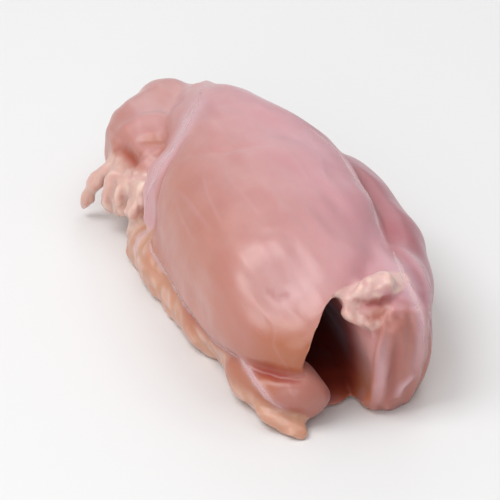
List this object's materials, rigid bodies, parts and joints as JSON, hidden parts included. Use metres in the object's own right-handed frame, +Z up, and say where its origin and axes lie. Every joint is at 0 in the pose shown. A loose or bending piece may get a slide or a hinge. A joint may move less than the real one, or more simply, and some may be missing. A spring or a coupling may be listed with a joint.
{
  "type": "raw chicken thigh fillet",
  "caption": "Boneless raw chicken thigh fillet, folded over on itself with a smooth domed top, a fold open at one end, and ragged fat along one side.",
  "frame": {"origin": "middle of the bounding box on the flat face that the fillet rests on", "axes": "+Z up, +Y from the open end of the fold to the thin far end, +X to the right of somebody who looks into the fold"},
  "size_m": [0.0558, 0.1214, 0.034],
  "materials": {
    "flesh": "moist raw meat, satin, with pale fat and thin membrane"
  },
  "bodies": {
    "root": {"fillet": "flesh"}
  },
  "joints": []
}
